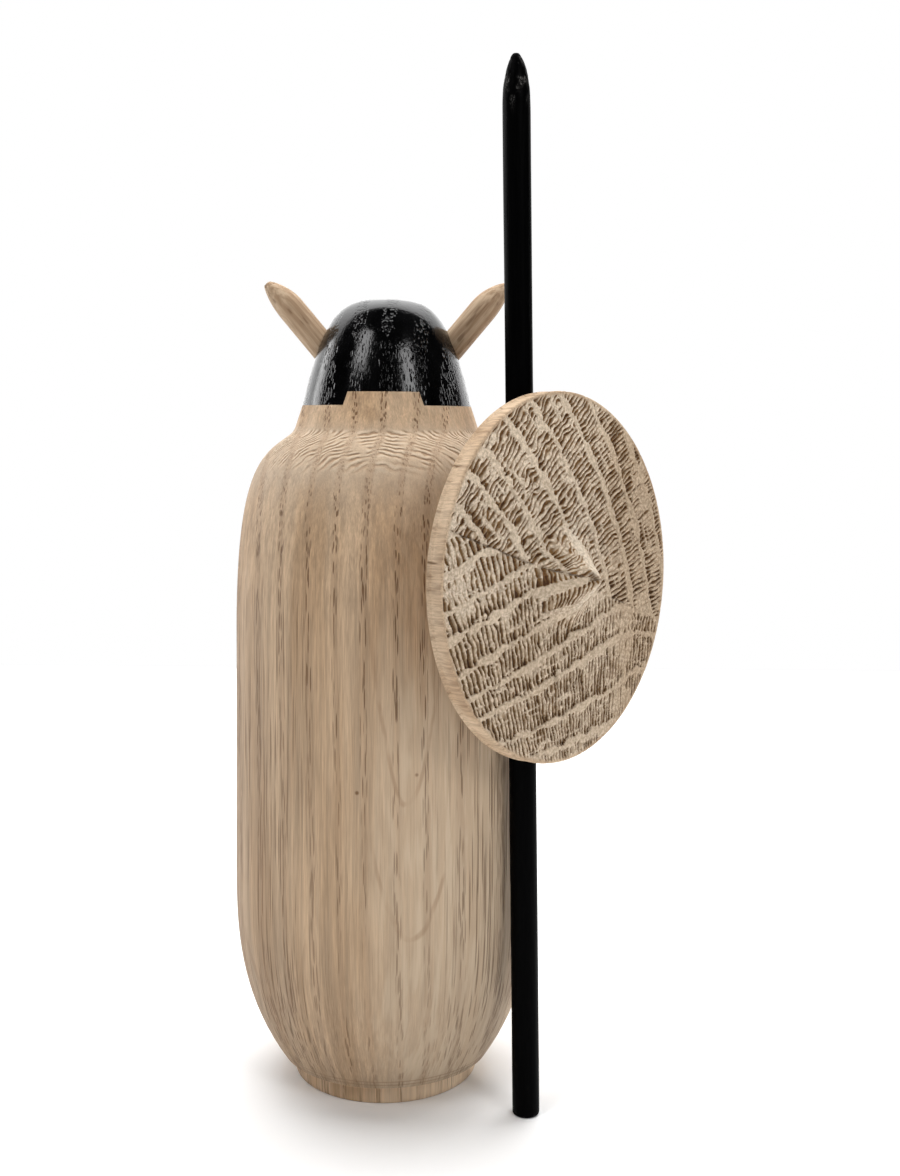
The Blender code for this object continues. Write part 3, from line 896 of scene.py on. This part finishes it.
def body_oak():
    """Bare oak: vessels that run upward, dense at the growth rings, long fibres and pale rays."""
    f = Finish("bare_oak")
    across, depth, level = f.axes(f.place)
    ripple = f.attribute("ripple")
    slope = f.attribute("slope")
    zone = f.step(f.ring_distance(), 0.16, 0.06)
    # Long soft stripes along the fibres
    fibre = f.noise((0.15, 0.15, 6.0), 2.0, 0.65)
    colour = f.mix(f.step(f.noise((6.0, 6.0, 70.0)), 0.35, 0.65), *BODY_OAKS)
    colour = f.shade(colour, f.noise((1.3, 1.3, 48.0)), 0.32, 0.68, 0.87, 1.1)
    colour = f.shade(colour, f.noise((0.42, 0.42, 24.0), 2.0, 0.6), 0.32, 0.68, 0.86, 1.08)
    colour = f.shade(colour, fibre, 0.34, 0.68, 0.85, 1.08)
    # Pale rays, which show as broad flecks low on the right, on a paler lower right that is partly the pale
    # wood of the rays and partly painted light where the shield shades the body
    fleck = f.step(f.noise((2.6, 0.6, 17.0), 2.0, 0.55, 0.3), 0.44, 0.62)
    low_right_light_and_rays = f.times(f.step(across, -6.0, 8.0, 0.1, 1.0), f.step(level, 92.0, 66.0, 0.2, 1.0))
    low_right_light_and_rays = f.times(low_right_light_and_rays, 0.62)
    colour = f.mix(low_right_light_and_rays, colour, RIGHT_LIGHT_PALE)
    colour = f.mix(f.times(fleck, low_right_light_and_rays), colour, FLECK_PALE)
    # The slope made paler, partly the lighter tone of its cut end grain and partly a painted sheen of light
    # from above; the upper barrel made lighter as painted light, and the lower left side darker as painted
    # shade
    colour = f.mix(f.times(slope, 0.42), colour, SLOPE_SHEEN_PALE)
    colour = f.shade(colour, slope, 0.3, 1.0, 1.0, 0.9)
    colour = f.shade(colour, level, 58.0, 88.0, 0.99, 1.06)
    # Painted shade: the lower left side made darker
    low_left_shade = f.times(f.step(across, -12.0, -24.0), f.step(level, 98.0, 80.0))
    colour = f.gain(colour, f.line(low_left_shade, -0.1, 1.0))
    colour = f.mix(f.times(zone, 0.18), colour, OAK_DEEP)
    # Vessels: large ones at the growth rings, small ones beside the front
    large = f.times(f.spots((0.32, 0.32, 6.2), 0.42, 0.27), f.step(slope, 0.2, 1.0, 1.0, 0.45))
    large = f.times(large, f.step(level, 50.0, 86.0, 0.62, 1.0))
    aside = f.times(f.step(f.apart(across), 7.0, 17.0, 0.1, 0.75), f.step(level, 98.0, 84.0, 0.3, 1.0))
    small = f.times(f.spots((0.36, 0.5, 30.0), 0.37, 0.22), aside)
    pores = f.math("MAXIMUM", f.times(large, zone), small)
    pores = f.times(pores, f.step(f.noise((3.0, 3.0, 9.0), 1.0), 0.35, 0.55, 0.6, 1.0))
    colour = f.mix(f.times(pores, 0.85), colour, PORE_BROWN)
    colour = f.mix(f.times(f.attribute("pore"), 0.5), colour, OAK_DEEP)
    # Ripples of the shoulder, with painted shade in their grooves and a painted highlight on their crests
    wave = f.line(f.furrows(), 0.5, 0.5)
    wave = f.plus(wave, f.swing(f.noise((0.5, 0.3, 0.3), 2.0, 0.6), 0.7))
    groove = f.times(f.step(wave, 0.52, 0.9), ripple)
    crest_highlight = f.times(f.step(wave, 0.42, 0.1), ripple)
    colour = f.mix(f.times(groove, 0.62), colour, OAK_DEEP)
    colour = f.mix(f.times(crest_highlight, 0.55), colour, RIPPLE_CREST_HIGHLIGHT)
    # Growth curves, patchy and a little crooked
    wander = f.swing(f.noise((5.0, 5.0, 22.0), 1.0), 6.0)
    patchy = f.step(f.noise((2.2, 2.2, 6.0)), 0.35, 0.6, 0.15, 1.0)
    for middle, bottom, steep in GROWTH_CURVES:
        away = f.minus(across, middle)
        curve = f.line(f.times(away, away), steep, bottom)
        width = f.line(f.apart(away), steep, 0.6)
        trace = f.step(f.math("DIVIDE", f.apart(level, f.plus(curve, wander)), width), 0.8, 0.2)
        trace = f.times(trace, f.step(f.apart(away), 7.5, 5.0, 0.0, 0.42))
        colour = f.mix(f.times(f.times(trace, patchy), f.step(depth, 0.0, -6.0)), colour, OAK_DEEP)
    for line_level in FOOT_LINES:
        colour = f.mix(f.step(f.apart(level, line_level), 0.22, 0.04, 0.0, 0.45), colour, OAK_DEEP)
    # Painted shade low on the belly, painted light on the foot, and a lighter neck
    for change in LEVEL_LIGHT_AND_SHADE:
        colour = f.shade(colour, level, *change)
    for spot in SPECKS:
        item = f.node("VectorMath", ((0, f.place), (1, spot)), operation="DISTANCE")
        colour = f.mix(f.step(item.outputs["Value"], 0.55, 0.2, 0.0, 0.9), colour, PORE_BROWN)
    height = f.minus(f.minus(f.times(fibre, 0.25), f.times(pores, 0.8)), f.times(groove, 0.5))
    return f.finish(colour, f.step(fibre, 0.3, 0.7, 0.8, 0.66), f.bump(height, 0.00018), 0.35)


def helmet_paint():
    """Satin black paint, thin enough for the oak's vessels and fibres to show through it."""
    f = Finish("helmet_paint")
    across, _, level = f.axes(f.place)
    zone = f.step(f.ring_distance(), 0.26, 0.12, 0.04, 1.0)
    vessel = f.times(f.spots((0.42, 0.42, 5.0), 0.48, 0.26), zone)
    # Short open vessels low on the front and the right
    open_grain = f.math("MAXIMUM", f.step(f.apart(across, 4.2), 3.8, 2.2), f.step(across, 10.0, 12.0))
    open_grain = f.times(open_grain, f.step(level, 134.5, 130.5))
    short = f.times(f.spots((0.42, 0.42, 3.2), 0.38, 0.18), open_grain)
    grain = f.noise((0.24, 0.24, 6.0), 2.0, 0.6)
    haze = f.noise((2.5, 2.5, 7.0))
    colour = f.mix(f.step(haze, 0.3, 0.7), *PAINT_BLACKS)
    height = f.plus(f.times(grain, 0.08), f.times(f.noise((0.1, 0.1, 0.25)), 0.015))
    height = f.minus(height, f.math("MAXIMUM", vessel, short))
    return f.finish(colour, f.step(haze, 0.3, 0.7, 0.09, 0.15), f.bump(height, 0.00016), 0.37)


def horn_oak():
    """Lighter oak with long grain along each peg."""
    f = Finish("horn_oak")
    fibre = f.noise((0.16, 0.16, 2.6), 2.0, 0.6)
    colour = f.mix(f.step(f.noise((0.55, 1.1, 14.0), 3.0, 0.6), 0.36, 0.66), *HORN_OAKS)
    colour = f.shade(colour, fibre, 0.3, 0.7, 0.9, 1.06)
    colour = f.mix(f.times(f.attribute("marks"), 0.5), colour, PORE_BROWN)
    return f.finish(colour, f.step(fibre, 0.3, 0.7, 0.76, 0.62), f.bump(fibre, 0.00003), 0.35)


def spear_black():
    """Satin black stick with bare grey specks on its tip."""
    f = Finish("spear_black")
    marks = f.attribute("marks")
    grain = f.noise((0.25, 0.25, 7.0), 2.0, 0.6)
    speck = f.noise((0.18, 0.18, 0.35), 2.0, 0.7)
    bare = f.times(marks, f.step(speck, 0.46, 0.6))
    colour = f.mix(f.step(grain, 0.3, 0.7), *STICK_BLACKS)
    colour = f.mix(f.times(bare, 0.55), colour, RUBBED_GREY)
    height = f.plus(f.times(grain, 0.5), f.times(speck, f.times(marks, 0.5)))
    return f.finish(colour, f.step(marks, 0.0, 0.6, 0.45, 0.6), f.bump(height, 0.00004), 0.02)


def shield_oak():
    """Brushed oak: pale hard bands, brown furrows, a creamy turned rim and a straight-grained back."""
    f = Finish("shield_oak")
    right, up, out = f.axes(f.place)
    band = f.attribute("band")
    on_face = f.attribute("on_face")
    broad = f.step(f.noise((9.0, 9.0, 9.0)), 0.35, 0.65)
    patch = f.noise((2.6, 2.6, 2.6))
    mottle = f.noise((0.55, 0.55, 0.55), 3.0, 0.65)
    fine = f.noise((0.15, 0.15, 0.15), 2.0, 0.6)
    # The mesh's furrows, with ragged edges
    wave = f.furrows()
    close_wave = f.math("SINE", f.line(f.attribute("phase"), 2.0 * tau, 1.0))
    wave = f.line(f.minus(close_wave, wave), f.attribute("finer"), wave)
    value = f.plus(f.line(wave, 0.5, 0.5), f.attribute("lift"))
    value = f.plus(value, f.plus(f.swing(mottle, 0.5), f.swing(fine, 0.5)))
    furrow = f.step(value, 0.5, 0.76)
    # Hard wood between them
    face = f.mix(broad, *FACE_OAKS)
    face = f.shade(face, patch, 0.3, 0.7, 0.9, 1.06)
    face = f.shade(face, band, 0.0, 1.0, 0.84, 0.98)
    # Painted highlight on the crests beside the furrows
    crest_highlight = f.times(f.step(value, 0.48, 0.16), f.step(mottle, 0.35, 0.65, 0.3, 0.85))
    face = f.mix(crest_highlight, face, CREST_HIGHLIGHT_PALE)
    face = f.mix(f.times(band, 0.35), face, BAND_PALE)
    # Painted highlight: the ridge above the boss's tip made pale where it catches the light, and the curl
    # of hard wood below it pale too
    ridge_highlight_and_curl = f.times(f.attribute("ridge_and_curl"), f.step(mottle, 0.34, 0.6, 0.35, 0.85))
    face = f.mix(ridge_highlight_and_curl, face, RIDGE_HIGHLIGHT_AND_CURL_PALE)
    face = f.shade(face, mottle, 0.3, 0.7, 0.78, 1.12)
    warm = f.math("MAXIMUM", f.step(right, 4.0, 20.0), f.step(up, 2.0, -10.0, 0.0, 0.42))
    face = f.mix(warm, face, FACE_WARMTH, "MULTIPLY")
    brown = f.mix(f.step(patch, 0.3, 0.62), *FURROW_BROWNS)
    # Painted shade in the deepest part of the furrows
    brown = f.mix(f.step(value, 0.85, 1.2), brown, FURROW_DEEP_SHADE)
    brown = f.shade(brown, up, 2.0, -5.0, 1.0, 0.66)
    face = f.mix(f.times(furrow, 0.95), face, brown)
    # Painted light: the upper part of the face made lighter
    face = f.shade(face, up, 8.0, 24.0, 1.0, 1.12)
    dark = f.times(f.attribute("dark"), f.step(mottle, 0.25, 0.6, 1.0, 0.75))
    face = f.mix(dark, face, TORN_BROWN)
    # Rim
    side = f.mix(broad, *RIM_OAKS)
    side = f.shade(side, f.noise((0.3, 0.3, 9.0), 2.0, 0.6), 0.34, 0.66, 0.78, 1.08)
    side = f.mix(f.math("MINIMUM", f.attribute("rim_mark"), 1.0), side, RIM_BROWN)
    # The board's straight grain on the back
    back = f.mix(f.step(f.noise((16.0, 0.6, 6.0), 3.0, 0.6), 0.36, 0.66), *BACK_OAKS)
    back = f.mix(f.times(f.spots((5.0, 0.34, 6.0), 0.36, 0.22), 0.6), back, PORE_BROWN)
    side = f.mix(f.step(out, 0.2, 0.05), side, back)
    colour = f.shade(f.mix(on_face, side, face), fine, 0.3, 0.7, 0.94, 1.05)
    height = f.plus(f.times(mottle, 0.3), f.times(fine, 0.3))
    height = f.minus(height, f.times(f.times(furrow, on_face), 0.9))
    return f.finish(colour, f.step(band, 0.0, 1.0, 0.84, 0.7), f.bump(height, 0.00011), 0.3)


# Half the side of the table's square
FLOOR_REACH = 0.42


def make_floor():
    """A pale matt table under the figure."""
    corners = FLOOR_REACH * np.array([(-1, -1, 0), (1, -1, 0), (1, 1, 0), (-1, 1, 0)])
    floor = new_mesh("pale_floor", corners, [(0, 1, 2, 3)])
    f = Finish("pale_floor")
    tone = f.noise((90.0, 90.0, 90.0))
    colour = f.mix(f.step(tone, 0.3, 0.7), *FLOOR_WHITES)
    floor.data.materials.append(f.finish(colour, 0.9, f.bump(tone, 0.00005), 0.2))


# Soft studio light: name, place, size across and up, power in watts
LIGHTS = (
    ("overhead", (0.00, 0.1, 0.75), 0.7, 0.55, 6.5),
    ("left_window", (-0.6, -0.62, 0.92), 0.34, 0.42, 3.3),
    ("right_window", (0.56, -0.72, 0.68), 0.32, 0.42, 3.2),
    ("left_strip", (-0.6, 0.25, 0.2), 0.2, 0.5, 1.5),
)
LIGHT_TARGET = Vector((0.0, 0.0, 0.09))


def make_lights():
    """The overhead light makes no highlights, and the strip makes nothing else."""
    for name, place, across, up, power in LIGHTS:
        lamp = bpy.data.lights.new(name, "AREA")
        lamp.shape = "RECTANGLE"
        lamp.size = across
        lamp.size_y = up
        lamp.energy = power
        item = new_object(name, lamp)
        item.location = place
        item.rotation_euler = (LIGHT_TARGET - Vector(place)).to_track_quat("-Z", "Y").to_euler()
        item.visible_glossy = name != "overhead"
        item.visible_diffuse = name != "left_strip"


# Brightness of the studio's walls, in its light and in reflections
DIM_FRONT = 0.03
BRIGHT_BACK = 1.8
SHINE_FRONT = 0.01
CEILING_GAIN = 2.1


def make_world():
    """A white studio, bright behind the figure and dim before it, and plain white to the camera.

    Reflections show its bright part further back, least so overhead and most on the right.
    """
    world = bpy.data.worlds.new("studio")
    bpy.context.scene.world = world
    world.use_nodes = True
    f = Nodes(world.node_tree)
    right, back, up = f.axes(f.node("TexCoord").outputs["Generated"])
    walls = f.step(back, 0.13, 0.25, DIM_FRONT, BRIGHT_BACK)
    border = f.plus(back, f.step(right, 0.3, 0.85, 0.0, -0.25))
    border = f.line(f.step(up, 0.25, 0.6), 0.21, border)
    shine = f.times(f.step(border, 0.36, 0.46, SHINE_FRONT, BRIGHT_BACK),
                    f.step(up, 0.45, 0.9, 1.0, CEILING_GAIN))
    ray = f.node("LightPath").outputs
    strength = f.choose(ray["Is Camera Ray"], f.choose(ray["Is Glossy Ray"], walls, shine), 1.0)
    background = f.tree.nodes["Background"].inputs
    f.put(background["Strength"], strength)
    f.put(background["Color"], (1.0, 1.0, 1.0, 1.0))


# Camera, fitted to the photograph's frame of 900 by 1176 pixels
CAMERA_PLACE = (0.0112547, -0.2509491, 0.1205907)
CAMERA_YAW = 0.0012
CAMERA_PITCH = 0.1191
CAMERA_ROLL = -0.0068
CAMERA_LENS = 42.38
SENSOR_WIDTH = 36.0


def make_camera():
    forward = Vector((sin(CAMERA_YAW) * cos(CAMERA_PITCH),
                      cos(CAMERA_YAW) * cos(CAMERA_PITCH), -sin(CAMERA_PITCH)))
    level = Vector((cos(CAMERA_YAW), -sin(CAMERA_YAW), 0.0))
    down = forward.cross(level)
    right = cos(CAMERA_ROLL) * level + sin(CAMERA_ROLL) * down
    below = -sin(CAMERA_ROLL) * level + cos(CAMERA_ROLL) * down
    data = bpy.data.cameras.new("camera")
    data.lens = CAMERA_LENS
    data.sensor_width = SENSOR_WIDTH
    data.clip_start = 0.005
    camera = new_object("camera", data)
    turn = Matrix((right, -below, -forward)).transposed().to_4x4()
    camera.matrix_world = Matrix.Translation(CAMERA_PLACE) @ turn
    bpy.context.scene.camera = camera


make_camera()
make_world()
make_lights()
make_floor()
make_body(body_oak(), helmet_paint())
make_horns(horn_oak())
make_spear(spear_black())
make_shield(shield_oak())
bpy.context.scene.view_settings.view_transform = "Standard"

bpy.context.view_layer.update()
